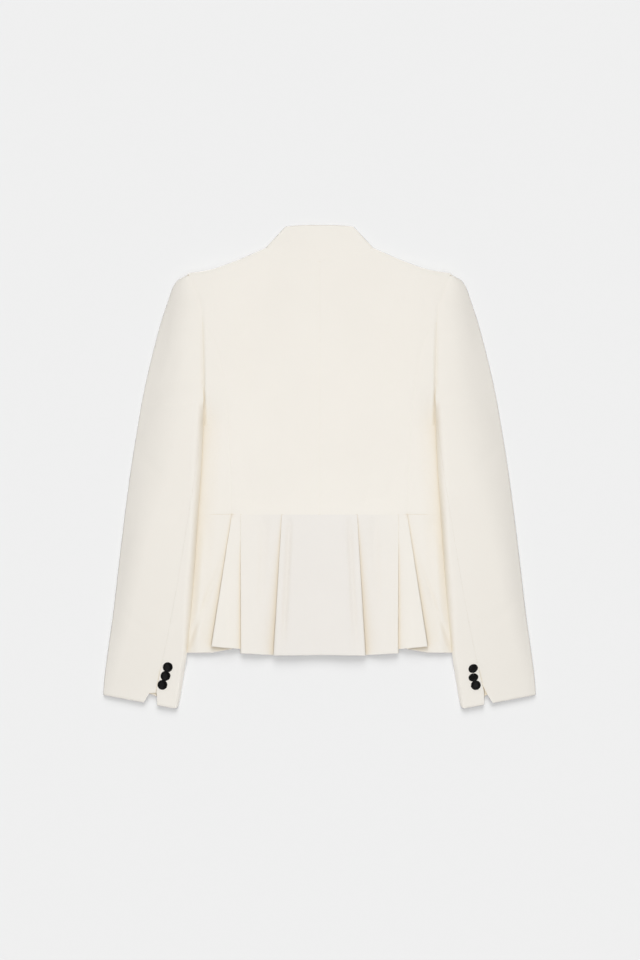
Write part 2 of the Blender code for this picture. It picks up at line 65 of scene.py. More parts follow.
# Meshes of the cloth
STEP = 2.2  # spacing of the points on the pieces that show
FRONT_STEP = 5.0  # and on the hidden fronts
TRACE_STEPS = 30  # points between two places of a smooth line
CLOTH_SHARP = 50.0  # edges sharper than this many degrees aren't smoothed
RIM_TURNS = np.radians([45, 90, 135])
SEAM_DIP = 0.22
SEAM_WIDTH = 1.4
NECK_DIP = 0.12
LEAST_WALL = 0.5
RUN_OUT = 0.35  # share of a crease's length over which it runs out at each end

# Kinds of pieces: the cut laid open in metres and square metres, how it is held, and how far its first row,
# last column, last row and first column bulge outwards
PIECES = {
    "back": ((0.21, 0.39), 0.063, "laid", (0, 0, 0, 0)),
    "side_back": ((0.10, 0.29), 0.0165, "laid", (0, 0, 0, 0)),
    "front": ((0.235, 0.39), 0.073, "laid", (0, 0, 0, 0.5)),
    "peplum_front": ((0.24, 0.20), 0.0425, "laid", (0, 0.5, 0.5, 0.5)),
    "collar": ((0.33, 0.075), 0.0155, "folded", (0.6, 0.5, 0.6, 0)),
    "peplum_back": ((0.68, 0.21), 0.125, "folded", (0.5, 0.8, 0.5, 0)),
    "top_sleeve": ((0.21, 0.64), 0.093, "laid", (0, 0, 0.5, 0)),
    "under_sleeve": ((0.10, 0.45), 0.0262, "laid", (0, 0, 0.5, 0)),
}


def ease(value):
    """Runs smoothly from 0 to 1."""
    value = np.clip(value, 0, 1)
    return value * value * (3 - 2 * value)


def rounded(value):
    """A quarter circle that rises from 0 to 1 and stays there."""
    value = np.clip(value, 0, 1)
    return np.sqrt(1 - (1 - value) ** 2)


def read(places, values, at):
    """Reads a table between its rows on smooth curves that don't overshoot."""
    order = np.argsort(places)
    x, y = np.asarray(places)[order], np.asarray(values)[order]
    step = np.diff(x)
    rise = np.diff(y) / step
    slope = np.concatenate([rise[:1], np.zeros(len(rise) - 1), rise[-1:]])
    same = rise[:-1] * rise[1:] > 0
    slope[1:-1][same] = 2 / (1 / rise[:-1][same] + 1 / rise[1:][same])
    at = np.clip(at, x[0], x[-1])
    i = np.clip(np.searchsorted(x, at) - 1, 0, len(step) - 1)
    t = (at - x[i]) / step[i]
    start = (1 + 2 * t) * (1 - t) ** 2 * y[i] + t * (1 - t) ** 2 * step[i] * slope[i]
    return start + t * t * (3 - 2 * t) * y[i + 1] - t * t * (1 - t) * step[i] * slope[i + 1]


def trace(points, steps):
    """A smooth line through a few points."""
    points = np.array(points, float)
    padded = np.concatenate([2 * points[:1] - points[1:2], points, 2 * points[-1:] - points[-2:-1]])
    line = []
    for a, b, c, d in zip(padded, padded[1:], padded[2:], padded[3:]):
        for t in np.arange(steps) / steps:
            bend = (2 * a - 5 * b + 4 * c - d) * t + (3 * b - a - 3 * c + d) * t * t
            line.append(b + 0.5 * t * (c - a + bend))
    return np.array(line + [points[-1]])


def run_along(line):
    """How far each point of a line lies from its start, measured along it."""
    return np.concatenate([[0], np.cumsum(np.linalg.norm(np.diff(line, axis=0), axis=1))])


def recut(line, count):
    """The same line with the given number of points, evenly apart."""
    run = run_along(line)
    at = np.linspace(0, run[-1], count)
    return np.stack([np.interp(at, run, line[:, k]) for k in range(2)], axis=-1)


def smooth_trace(table):
    return trace(list(zip(table["x"], table["y"])), TRACE_STEPS)


def smooth_line(table, step):
    line = smooth_trace(table)
    return recut(line, max(2, int(round(run_along(line)[-1] / step)) + 1))


def join(*lines):
    """Joins lines end to end, so that the corners between them stay sharp."""
    return np.concatenate([line[:-1] for line in lines[:-1]] + [lines[-1]])


def armhole_x(y):
    return read(ARMHOLE["y"], ARMHOLE["x"], y)


def armhole_line(low, high, step):
    y = np.linspace(low, high, int((high - low) / step) + 2)
    return np.stack([armhole_x(y), y], axis=-1)


def edge_line(table, step):
    start, end = table["x"][0], table["x"][-1]
    x = np.linspace(start, end, int((end - start) / step) + 2)
    return np.stack([x, read(table["x"], table["y"], x)], axis=-1)


def patch(bottom, top, inner, outer):
    """Fills four edge lines with a grid of points in plan, rows from bottom to top."""
    u = np.linspace(0, 1, len(bottom))[None, :, None]
    v = np.linspace(0, 1, len(inner))[:, None, None]
    across = (1 - u) * inner[:, None] + u * outer[:, None]
    along = (1 - v) * bottom[None] + v * top[None]
    corners = (1 - v) * ((1 - u) * bottom[0] + u * bottom[-1]) + v * ((1 - u) * top[0] + u * top[-1])
    return across + along - corners


def with_height(plan, height):
    return np.concatenate([plan, np.broadcast_to(height, plan.shape[:2])[..., None]], axis=-1)


def thicken(middle, thickness):
    """Moves a grid of middle points out and in by half a wall, square to each section in x and z."""
    way = np.gradient(middle, axis=0)
    normal = np.stack([-way[..., 2], np.zeros(way.shape[:2]), way[..., 0]], axis=-1)
    normal *= thickness / 2 / np.maximum(np.linalg.norm(normal, axis=-1, keepdims=True), 1e-6)
    return middle + normal, middle - normal


def grid_loop(grid):
    """The border of a grid, once round."""
    return np.concatenate([grid[0, :-1], grid[:-1, -1], grid[-1, :0:-1], grid[:0:-1, 0]])


def rim_ways(outside, rims):
    """Which way, and how far for its thickness, each border point of a piece bulges."""
    outward = np.zeros_like(outside)
    edges = (np.s_[0], np.s_[:, -1], np.s_[-1], np.s_[:, 0])
    beside = (np.s_[1], np.s_[:, -2], np.s_[-2], np.s_[:, 1])
    for amount, edge, inner in zip(rims, edges, beside):
        way = outside[edge] - outside[inner]
        outward[edge] += amount * way / np.linalg.norm(way, axis=-1, keepdims=True)
    return outward


def shell(name, outside, inside, material, rims):
    """Closes the two faces of a piece of cloth with a rounded rim."""
    rows, count = outside.shape[:2]
    middle, half = grid_loop((outside + inside) / 2), grid_loop((outside - inside) / 2)
    bulge = grid_loop(rim_ways(outside, rims)) * np.linalg.norm(half, axis=-1, keepdims=True)
    rings = [middle + half * math.cos(turn) + bulge * math.sin(turn) for turn in RIM_TURNS]
    near = np.arange(rows * count).reshape(rows, count)
    far = near + rows * count
    first = 2 * rows * count
    loops = [first + k * len(middle) + np.arange(len(middle)) for k in range(len(rings))]
    loops = [grid_loop(near), *loops, grid_loop(far)]
    faces = []
    for grid in (near, far[:, ::-1]):
        corners = (grid[:-1, :-1], grid[:-1, 1:], grid[1:, 1:], grid[1:, :-1])
        faces.append(np.stack(corners, axis=-1).reshape(-1, 4))
    for upper, lower in zip(loops, loops[1:]):
        faces.append(np.stack([np.roll(upper, -1), upper, lower, np.roll(lower, -1)], axis=-1))
    points = np.concatenate([outside.reshape(-1, 3), inside.reshape(-1, 3), *rings])
    faces = np.concatenate(faces)
    a, b, c, d = (points[faces[:, k]] for k in range(4))
    volume = np.sum(np.cross(a, b) * c) + np.sum(np.cross(a, c) * d)
    if volume < 0:
        faces = faces[:, ::-1]
    return add_mesh(name, points, faces.tolist(), material, CLOTH_SHARP)


def add_mesh(name, points, faces, material, sharp):
    mesh = bpy.data.meshes.new(name)
    mesh.from_pydata((np.asarray(points) * MM).tolist(), [], faces)
    mesh.shade_smooth()
    mesh.set_sharp_from_angle(angle=math.radians(sharp))
    mesh.materials.append(material)
    piece = bpy.data.objects.new(name, mesh)
    bpy.context.scene.collection.objects.link(piece)
    return piece


def cloth_piece(kind, side_name, outside, inside, material):
    """Builds one piece of cloth in the place of its solid and hides the solid. A piece that has a side is
    given as the right one, and is mirrored for the left."""
    node = f"{kind}_{side_name}" if side_name else kind
    turn = np.array([SIDES.get(side_name, 1), 1, 1])
    flat, area, held, rims = PIECES[kind]
    piece = shell(node + "_cloth", outside * turn, inside * turn, material, rims)
    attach(piece, "root")
    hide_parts(node)


def trough(x, y, start, end, depth, width):
    """A soft crease along a line, deepest near its middle and running out at both ends."""
    way = np.subtract(end, start)
    along = ((x - start[0]) * way[0] + (y - start[1]) * way[1]) / (way @ way)
    off = ((x - start[0]) * way[1] - (y - start[1]) * way[0]) / math.hypot(*way)
    run_out = ease(along / RUN_OUT) * ease((1 - along) / RUN_OUT)
    return -depth * np.exp(-(off / width) ** 2) * run_out


def creases(x, y, table):
    return sum(trough(x, y, (x0, y0), (x1, y1), depth, width)
               for x0, y0, x1, y1, depth, width in zip(*table.values()))


def seam_dip(distance, depth=SEAM_DIP, width=SEAM_WIDTH):
    return -depth * np.exp(-(distance / width) ** 2)


# Body
FRONT_WALL = 2.0
FRONT_NECK_Y = 268.0
FRONT_HEM_Y = -257.5
FRONT_LAP = 12.0
FRONT_NECK = columns("x y", (-FRONT_LAP, FRONT_NECK_Y), (30, 280), NECK_POINT)
FRONT_PEPLUM_GRID = (40, 48)  # points down and across
FRONT_RAISE = SEAM + FRONT_WALL
LAP_END = 2 * FRONT_LAP  # the upper front comes down from the lower one beyond here
LAP_SLOPE = 22.0
BACK_BRIDGE = 2.5  # the back bridges the fronts' lap more widely by this factor
BACK_WALL = 2.2
BACK_EASE = 0.1
ARMHOLE_SWELL = 10.8  # the back stands off the front beside the armhole by this much
SWELL_START = (92.0, 50.0)
SWELL_WIDTH = 74.0
SWELL_END = (196.0, 264.0)
SHOULDER_PAD = 8.0
PAD_START_X = 40.0
PAD_FULL_X = 170.0
PAD_REACH = 105.0
PAD_ROUND = 9.0
PAD_EDGE = 0.92
SHOULDER_ROUND = (8.0, 0.6)  # the shoulder's edge bends down over this width by this much
SHOULDER_ROUND_START = 12.0  # that bend comes in over this width from the neck
WAIST_BLEND = 24.0  # the back comes to the waist's height over this width
WAIST_SEAM = {"depth": 0.24, "width": 1.6, "start_x": 118.0, "end_x": 160.0, "reach": 10.0}
ARMHOLE_LOW_Y = 60.0
FAR = 99.0  # a distance at which the armhole has no effect
ARMHOLE_GROOVE = {"least": 0.1, "more": 0.72, "start_y": 236.0, "reach": 90.0, "back": 2.2, "sleeve": 3.2}
ARMHOLE_ROLL = {"height": 0.35, "place": 4.5, "width": 2.5, "start_y": 246.0, "reach": 40.0}
BACK_CREASES = columns(
    "x0 y0 x1 y1 depth width",
    (150, 262, 152, 150, 0.7, 7),
    (-152, 250, -150, 168, 0.45, 7),
    (118, 40, 96, -62, 0.5, 10),
    (-112, 52, -100, -64, 0.55, 9),
    (60, 236, 34, 120, 0.35, 16),
    (-48, 210, -66, 60, 0.35, 15),
    (70, -20, 64, -66, 0.35, 5),
    (-30, -14, -34, -66, 0.3, 5),
    (20, -22, 18, -66, 0.25, 4),
    (142, 70, 160, -40, 0.4, 9),
    (-146, 60, -158, -50, 0.4, 9),
)


def shoulder_y(x):
    return read(SHOULDER["x"], SHOULDER["y"], x)


def back_neck_y(x):
    return read(BACK_NECK["x"], BACK_NECK["y"], x)


def front_raise(x):
    """How far the upper front lies over the lower one at the middle."""
    return FRONT_RAISE * (1 - ease((np.abs(x) - LAP_END) / LAP_SLOPE))


def back_underside(x, y):
    lap = FRONT_RAISE * (1 - ease((np.abs(x) - BACK_BRIDGE * FRONT_LAP) / (BACK_BRIDGE * LAP_SLOPE)))
    beside_armhole = ease((x - SWELL_START[0]) / SWELL_WIDTH) * ease((y - SWELL_START[1]) / SWELL_WIDTH)
    below_shoulder = 1 - ease((y - SWELL_END[0]) / (SWELL_END[1] - SWELL_END[0]))
    return FRONT_WALL + SEAM + BACK_EASE + lap + ARMHOLE_SWELL * beside_armhole * below_shoulder


def shoulder_pad(x, y):
    below = shoulder_y(x) - y
    towards_tip = ease((x - PAD_START_X) / (PAD_FULL_X - PAD_START_X))
    edge = 1 - (1 - PAD_EDGE) * np.clip(1 - below / PAD_ROUND, 0, 1) ** 2
    return SHOULDER_PAD * towards_tip * edge * (1 - ease(below / PAD_REACH))


def back_top(x, y):
    """Height of the outside of the back, before its seams and creases."""
    plain = back_underside(x, y) + BACK_WALL + shoulder_pad(x, y)
    near_waist = 1 - ease((y - WAIST_Y) / WAIST_BLEND)
    return plain + (read(WAIST_TOP["x"], WAIST_TOP["z"], x) - plain) * near_waist


def armhole_depth(y):
    """Depth of the groove between back and sleeve: little at the shoulder, more down the armhole."""
    down = ease((ARMHOLE_GROOVE["start_y"] - y) / ARMHOLE_GROOVE["reach"])
    return ARMHOLE_GROOVE["least"] + ARMHOLE_GROOVE["more"] * down


def back_surface(x, y, side):
    """Height of the back with its creases, its waist seam and the groove along the armhole."""
    beside = np.where(y > ARMHOLE_LOW_Y, armhole_x(y) - x, FAR)
    roll = ARMHOLE_ROLL["height"] * np.exp(-((beside - ARMHOLE_ROLL["place"]) / ARMHOLE_ROLL["width"]) ** 2)
    roll = roll * ease((ARMHOLE_ROLL["start_y"] - y) / ARMHOLE_ROLL["reach"])
    groove = seam_dip(beside, armhole_depth(y), ARMHOLE_GROOVE["back"])
    waist = seam_dip(y - WAIST_Y, WAIST_SEAM["depth"], WAIST_SEAM["width"])
    waist = waist * ease((x - WAIST_SEAM["start_x"]) / WAIST_SEAM["reach"])
    waist = waist * ease((WAIST_SEAM["end_x"] - x) / WAIST_SEAM["reach"])
    return back_top(x, y) + creases(side * x, y, BACK_CREASES) + roll + groove + waist


def lay_back(kind, plan, dips, material):
    """A piece of the back on each side, from the plan of the right one."""
    x, y = plan[..., 0], plan[..., 1]
    low = back_underside(x, y)
    for name, side in SIDES.items():
        high = np.maximum(back_surface(x, y, side) + dips, low + LEAST_WALL)
        cloth_piece(kind, name, with_height(plan, high), with_height(plan, low), material)


def make_backs(material):
    seam = smooth_line(BACK_SEAM, STEP)
    outer = join(seam, armhole_line(BACK_SEAM["y"][-1], SHOULDER_TIP[1], STEP))
    top = join(edge_line(BACK_NECK, STEP), edge_line(SHOULDER, STEP))
    inner = np.linspace((0, WAIST_Y), (0, NECK_Y), len(outer))
    plan = patch(np.linspace((0, WAIST_Y), outer[0], len(top)), top, inner, outer)
    x, y = plan[..., 0], plan[..., 1]
    on_seam = (np.arange(len(outer)) < len(seam))[:, None]
    dips = seam_dip(x) + np.where(on_seam, seam_dip(plan[:, -1:, 0] - x), 0)
    dips = dips + seam_dip(back_neck_y(x) - y, NECK_DIP) * (x < NECK_POINT[0])
    beyond = 1 - np.clip((shoulder_y(x) - y) / SHOULDER_ROUND[0], 0, 1)
    dips = dips - SHOULDER_ROUND[1] * beyond ** 2 * ease((x - NECK_POINT[0]) / SHOULDER_ROUND_START)
    lay_back("back", plan, dips, material)


def make_side_backs(material):
    inner = smooth_line(BACK_SEAM, STEP)
    outer = recut(smooth_trace(SIDE_SEAM), len(inner))
    armhole = armhole_line(UNDERARM["y"][0], BACK_SEAM["y"][-1], STEP)[::-1]
    top = join(armhole, smooth_line(UNDERARM, STEP))
    plan = patch(np.linspace(inner[0], outer[0], len(top)), top, inner, outer)
    lay_back("side_back", plan, seam_dip(plan[..., 0] - plan[:, :1, 0]), material)


def make_fronts(material):
    """The hidden fronts and their peplums, plain and flat on the floor."""
    lower_armhole = smooth_line(UNDERARM, FRONT_STEP)[::-1]
    outer = join(smooth_line(SIDE_SEAM, FRONT_STEP), lower_armhole,
                 armhole_line(UNDERARM["y"][0], SHOULDER_TIP[1], FRONT_STEP))
    top = join(edge_line(FRONT_NECK, FRONT_STEP), edge_line(SHOULDER, FRONT_STEP))
    inner = np.linspace((-FRONT_LAP, WAIST_Y), (-FRONT_LAP, FRONT_NECK_Y), len(outer))
    body = patch(np.linspace(inner[0], outer[0], len(top)), top, inner, outer)
    down, across = FRONT_PEPLUM_GRID
    y = np.linspace(WAIST_Y, FRONT_HEM_Y, down)
    middle = np.stack([np.full_like(y, -FRONT_LAP), y], axis=-1)
    edge = np.stack([read(PEPLUM_SIDE["y"], PEPLUM_SIDE["x"], y), y], axis=-1)
    skirt = np.linspace(middle, edge, across).swapaxes(0, 1)
    for kind, plan in (("front", body), ("peplum_front", skirt)):
        for name, side in SIDES.items():
            base = front_raise(plan[..., 0]) if side > 0 else np.zeros(plan.shape[:2])
            outside, inside = with_height(plan, base + FRONT_WALL), with_height(plan, base)
            cloth_piece(kind, name, outside, inside, material)


# Collar
COLLAR_WALL = 2.0
COLLAR_TOP_Y = 345.3
COLLAR_CORNER = (47.9, 343.2)
COLLAR_HEIGHT = 50.0
COLLAR_FALL = 2.4
COLLAR_ROUND = (6.0, 0.3)  # its upper edge bends down over this width by this much
COLLAR_FRONT_DIP = 9.0
COLLAR_ROLL = 0.35  # how wide the fold at the collar's sides is for its height
COLLAR_GRID = {"up": 26, "across": 30, "fold": 13}


def make_collar(material):
    """The stand-up band pressed flat: its back on top, its ends meeting under it at the middle front."""
    rise = np.linspace(0, 1, COLLAR_GRID["up"])
    fold_x = NECK_POINT[0] + (COLLAR_CORNER[0] - NECK_POINT[0]) * rise
    fold_y = NECK_POINT[1] + (COLLAR_CORNER[1] - NECK_POINT[1]) * rise
    half = COLLAR_WALL / 2
    near_edge = np.clip(1 - (1 - rise) * COLLAR_HEIGHT / COLLAR_ROUND[0], 0, 1)

    def back_z(x, y):
        fall = COLLAR_FALL * ease(rise) + COLLAR_ROUND[1] * near_edge ** 2
        return back_top(x, y) - half - fall + seam_dip(rise * COLLAR_HEIGHT, NECK_DIP)

    radius = (back_z(*NECK_POINT) - half) / 2
    wide = COLLAR_ROLL * radius
    flat_end = fold_x - wide
    shares = np.linspace(0, 1, COLLAR_GRID["across"])[:-1]
    band = []
    for share in shares:
        x = SEAM + flat_end * share
        low = read(FRONT_NECK["x"], FRONT_NECK["y"], x[0]) + SEAM
        top = COLLAR_CORNER[1] - COLLAR_FRONT_DIP * (1 - share ** 2)
        band.append((x, low + (top - low) * rise, np.full_like(rise, half)))
    for turn in np.linspace(-math.pi / 2, math.pi / 2, COLLAR_GRID["fold"]):
        band.append((flat_end + wide * np.cos(turn), fold_y, half + radius * (1 + np.sin(turn))))
    for share in shares[::-1]:
        x = flat_end * share
        low = back_neck_y(x[0])
        top = COLLAR_TOP_Y + (COLLAR_CORNER[1] - COLLAR_TOP_Y) * share ** 3
        band.append((x, low + (top - low) * rise, back_z(x[0], low)))
    right = np.array(band).swapaxes(1, 2)
    left = right[-2::-1] * np.array([-1, 1, 1])
    outside, inside = thicken(np.concatenate([right, left]), COLLAR_WALL)
    cloth_piece("collar", "", outside, inside, material)


# Peplum
PEPLUM_CLOTH = 0.6
PEPLUM_LEAST_Z = 2.9
FOLDS = columns(
    "waist_x hem_x waist_depth hem_depth waist_z hem_z waist_radius hem_radius opens roll "
    "hem_y return_y next_y",
    (53.6, 65.8, 1.4, 15.0, 7.4, 12.0, 0.16, 2.1, 0.0, 2.2, -268.5, -266.0, -268.2),
    (112.6, 112.6, 0.4, 17.0, 7.2, 9.4, 0.06, 1.65, 0.17, 1.3, -265.6, -263.0, -259.5),
    (125.0, 154.2, 1.4, 28.0, 7.0, 12.4, 0.25, 1.2, 0.0, 2.2, -255.8, -259.6, -264.9),
)
PANEL_RISE = 1.4  # how quickly each panel comes up from under the fold beside it
PANEL_STEPS = (28, 20, 12, 52)  # points across each panel, from the middle outwards
MIDDLE_SHOWN_X = 1.0  # the middle panel shows from here
PLEAT_BLEND = 0.06  # the pleats come out of the waist over this share of the peplum
PLEAT_TURNS = np.radians(np.linspace(90, -90, 11))
PEPLUM_ROWS = np.concatenate(
    [np.linspace(0, PLEAT_BLEND, 6)[:-1], np.linspace(PLEAT_BLEND, 0.985, 80), [0.993, 1.0]])
PEPLUM_CREASES = columns(
    "x0 y0 x1 y1 depth width",
    (39.6, -20, 53.4, -300, 1.6, 4.2),
    (-39.8, -20, -53.6, -300, 1.8, 4.2),
    (75, -30, 86, -230, 1.7, 8),
    (-75, -30, -87, -230, 1.9, 8),
    (132, -112, 214, -325, 1.0, 3.6),
    (-132, -112, -214, -325, 1.1, 3.6),
    (164, -60, 178.4, -330, -1.6, 7),
    (-164, -60, -178.4, -330, -1.8, 7),
    (124, -130, 126, -270, 0.5, 5),
    (-123, -120, -127, -270, 0.6, 5),
    (12, -150, 16, -300, 0.5, 12),
    (-18, -140, -14, -300, 0.5, 12),
)


def between(row, name, share):
    """A size of the peplum at a share of the way from waist to hem."""
    return row["waist_" + name] + (row["hem_" + name] - row["waist_" + name]) * share


def fold_line(edge, depth, top, radius, roll):
    """One knife pleat in section: out to its edge, back under itself, and out again below."""
    wide = radius * roll
    out = [(edge - wide + wide * math.cos(a), top - radius + radius * math.sin(a)) for a in PLEAT_TURNS]
    root = edge - depth
    back = [(root - radius * math.cos(a), top - 3 * radius + radius * math.sin(a)) for a in PLEAT_TURNS]
    return out + back


def panel_line(start, shown, goal, count):
    """Points across one panel, which has its own hem from where it comes out under a fold."""
    steps = np.linspace(0, 1, count + 2)[1:-1]
    x = start[0] + (goal[0] - start[0]) * steps
    z = start[1] + (goal[1] - start[1]) * ease(steps * PANEL_RISE)
    hem = np.interp(x, (start[0], shown[0], goal[0]), (start[2], shown[1], goal[2]))
    return list(zip(x, z, hem, np.ones_like(x)))


def peplum_section(share):
    """Points of the peplum's middle line: x, height, own hem y, and 1 where the panel shows."""
    line = [(0, between(PEPLUM_MIDDLE, "z", share), PEPLUM_MIDDLE["hem_y"], 1)]
    shown = (MIDDLE_SHOWN_X, PEPLUM_MIDDLE["hem_y"])
    turns = len(PLEAT_TURNS)
    for k, count in enumerate(PANEL_STEPS[:-1]):
        fold = {key: column[k] for key, column in FOLDS.items()}
        opened = np.clip((share - fold["opens"]) / (1 - fold["opens"]), 0, 1)
        bend = fold_line(between(fold, "x", share), between(fold, "depth", opened), between(fold, "z", share),
                         between(fold, "radius", opened), fold["roll"])
        line += panel_line(line[-1], shown, (*bend[0], fold["hem_y"]), count)
        line += [(x, z, fold["hem_y"], 0) for x, z in bend[:turns]]
        line += [(x, z, fold["return_y"], 0) for x, z in bend[turns:]]
        shown = (between(fold, "x", share), fold["next_y"])
    edge_hem = PEPLUM_EDGE["hem_y"]
    edge_x = read(PEPLUM_SIDE["y"], PEPLUM_SIDE["x"], WAIST_Y + (edge_hem - WAIST_Y) * share)
    edge = (edge_x, between(PEPLUM_EDGE, "z", share), edge_hem)
    line += panel_line(line[-1], shown, edge, PANEL_STEPS[-1])
    return np.array(line + [(*edge, 1)])


def make_peplum(material):
    rows = []
    for share in PEPLUM_ROWS:
        x, z, hem, shows = peplum_section(share).T
        seen = np.interp(x, x[shows > 0], z[shows > 0])
        at_waist = read(WAIST_TOP["x"], WAIST_TOP["z"], x) - PEPLUM_CLOTH / 2
        z = z + (at_waist - seen) * (1 - ease(share / PLEAT_BLEND))
        y = WAIST_Y + (hem - WAIST_Y) * share
        halves = []
        for side in (-1, 1):
            dips = creases(side * x, y, PEPLUM_CREASES) * shows * ease(share / PLEAT_BLEND)
            halves.append(np.stack([side * x, y, np.maximum(z + dips, PEPLUM_LEAST_Z)], axis=-1))
        rows.append(np.concatenate([halves[0][:0:-1], halves[1]]))
    outside, inside = thicken(np.array(rows).swapaxes(0, 1), PEPLUM_CLOTH)
    cloth_piece("peplum_back", "", outside, inside, material)


# Sleeves
SLEEVE_WALL = 0.7
SLEEVE_GAP = 0.4  # least space inside a pressed sleeve
SLEEVE_EDGE = 2 * SLEEVE_WALL + SLEEVE_GAP
SLEEVE = columns(
    "y inner outer height",
    (274.8, 186.8, 188.0, 11.0),
    (272, 185.4, 191.8, 11.3),
    (269.2, 184.0, 197.6, 11.6),
    (266, 182.4, 202.8, 12.0),
    (256, 178.4, 209.6, 13.0),
    (239, 171.9, 215.7, 14.0),
    (205, 166.6, 226.8, 15.5),
    (136, 165.7, 244.6, 15.8),
    (96, 165.2, 253.2, 15.8),
    (67, 165.6, 258.2, 15.8),
    (0, 168.6, 269.0, 15.6),
    (-70, 173.3, 278.3, 15.8),
    (-139, 178.0, 286.5, 15.0),
    (-207, 183.4, 294.4, 13.0),
    (-276, 190.5, 304.0, 9.8),
    (-310, 195.9, 308.0, 8.2),
    (-346, 201.4, 309.8, 7.2),
)
SLEEVE_SLOPES = columns(
    "y rise lean fall begin full",
    (276, 0.00, 0.00, 0.50, 0.25, 0.88),
    (239, 0.18, 0.00, 0.52, 0.27, 0.88),
    (181, 0.22, 0.00, 0.44, 0.34, 0.75),
    (96, 0.16, 0.00, 0.38, 0.34, 0.78),
    (10, 0.10, 0.00, 0.47, 0.40, 1.00),
    (-104, 0.00, -0.01, 0.46, 0.63, 0.92),
    (-190, 0.00, -0.01, 0.44, 0.71, 0.94),
    (-326, 0.00, 0.01, 0.20, 0.87, 0.98),
)
HEAD_Y = 274.6
HEAD_ROUND = 2.5
ARM_Y = 240.0  # the rows are closer above here, round the sleeve's head
CUFF_Y = -325.0
SLEEVE_ROWS = {"head": 9, "shoulder": 20, "arm": 240}
FACE_POINTS = 52
FOLD_POINTS = 34
SPREAD = (1 - np.cos(math.pi * np.linspace(0, 1, FACE_POINTS))) / 2  # shares of a face, closer at both ends
TURNING = np.linspace(1, 0, FOLD_POINTS) ** 2  # and closer at the inner fold
SET_IN = columns("y share", (86, 0), (126, 1))
INNER_DROP = columns("y drop", (-326, 20.4), (-100, 12), (40, 4), (96, 0), (276, 0))
INNER_MEET = 0.08  # the height of the inner fold's edge, as a share of the sleeve's
INNER_DIP = 1.3  # the inner fold comes down on the body by this much
INNER_DIP_REACH = 16.0
SLEEVE_ROLL = columns("y width", (130, 6), (60, 12), (0, 15), (-104, 11), (-190, 13), (-260, 8), (-330, 6))
SLEEVE_RIM = 1.0  # the outer fold is pressed to this radius
WALL_TURN = 6.0  # reach of the inside's turn at a fold
SLEEVE_LIFT = 6.8
LIFT_CLEAR = 4.0
LIFT_SLOPES = {"side": 50.0, "hem": 30.0, "armhole": 25.0}
ON_BODY = {"clear": 0.1, "reach": 40.0, "low_y": 20.0, "high_y": 112.0, "slope": 30.0}
SLEEVE_SEAM_DIP = 0.09
SEAMS = columns(
    "y front top_right under_right top_left under_left",
    (276, 0, 0, 0, 0, 0),
    (96, 0, 0, 0, 0, 0),
    (40, 0.16, 0.043, 0.043, 0.043, 0.043),
    (-264, 0.30, 0.297, 0.297, 0.297, 0.297),
    (-298, 0.30, 0.320, 0.320, 0.309, 0.309),
    (-301, 0.30, 0.334, 0.323, 0.311, 0.311),
    (-305, 0.30, 0.345, 0.329, 0.315, 0.315),
    (-309, 0.30, 0.358, 0.328, 0.310, 0.310),
    (-310.5, 0.30, 0.364, 0.326, 0.400, 0.303),
    (CUFF_Y, 0.30, 0.425, 0.313, 0.459, 0.282),
)
UNDER_SLEEVE_START = 88.0
UNDER_HEM_INSET = 18.0
CUFF_CORNER = 6.5
VENT_TOP_Y = -306.0
VENT_LAP = 0.13  # share of the width that the under sleeve runs on below the open vent
VENT_RAISE = {"height": 0.7, "start_y": -268.0, "reach": 12.0, "spread": 0.18}
LAP_TOP_Y = -285.0
LAP_DROP_Y = -270.0
LAP_DROP = 1.6
LAP_REACH = 10.0
LAP_HEM_Y = {"right": -313.3, "left": -312.1}
LAP_SLANT = 1.2
LAP_LEAST = 0.003
LAP_SHARES = np.array([1, 0.7, 0.4, 0.1])
SLEEVE_CREASES = columns(
    "x0 y0 x1 y1 depth width",
    (168, 30, 226, -34, 0.7, 9),
    (170, -2, 214, -74, 0.6, 8),
    (262, 40, 222, -8, 0.5, 9),
    (200, 190, 232, 96, 0.5, 10),
    (196, -190, 262, -236, 0.45, 8),
    (290, -180, 244, -226, 0.4, 8),
)
SLEEVE_CREASE_PLACES = {"right": (1.0, 0.0), "left": (0.8, 14.0)}  # share of the depth, and how much lower


def sleeve_size(name, y):
    return read(SLEEVE["y"], SLEEVE[name], y)


def sleeve_underside(x, y):
    """Height of a sleeve's lower face: on the floor, or climbing over the side of the body."""
    edge_x, edge_y = (np.concatenate([UNDERARM[key][:-1], SIDE_SEAM[key][::-1], PEPLUM_SIDE[key][1:]])
                      for key in "xy")
    beyond_side = (x - read(edge_y, edge_x, y) - LIFT_CLEAR) / LIFT_SLOPES["side"]
    below_hem = (PEPLUM_EDGE["hem_y"] - LIFT_CLEAR - y) / LIFT_SLOPES["hem"]
    above_armhole = (y - UNDERARM["y"][0] - LIFT_CLEAR) / LIFT_SLOPES["armhole"]
    return SLEEVE_LIFT * (1 - ease(np.maximum(np.maximum(beyond_side, below_hem), above_armhole)))


def sleeve_inner(y):
    """The sleeve's inner edge: the armhole, and below it the edge that lies on the body."""
    return np.where(y > UNDERARM["y"][0], armhole_x(y), sleeve_size("inner", y))


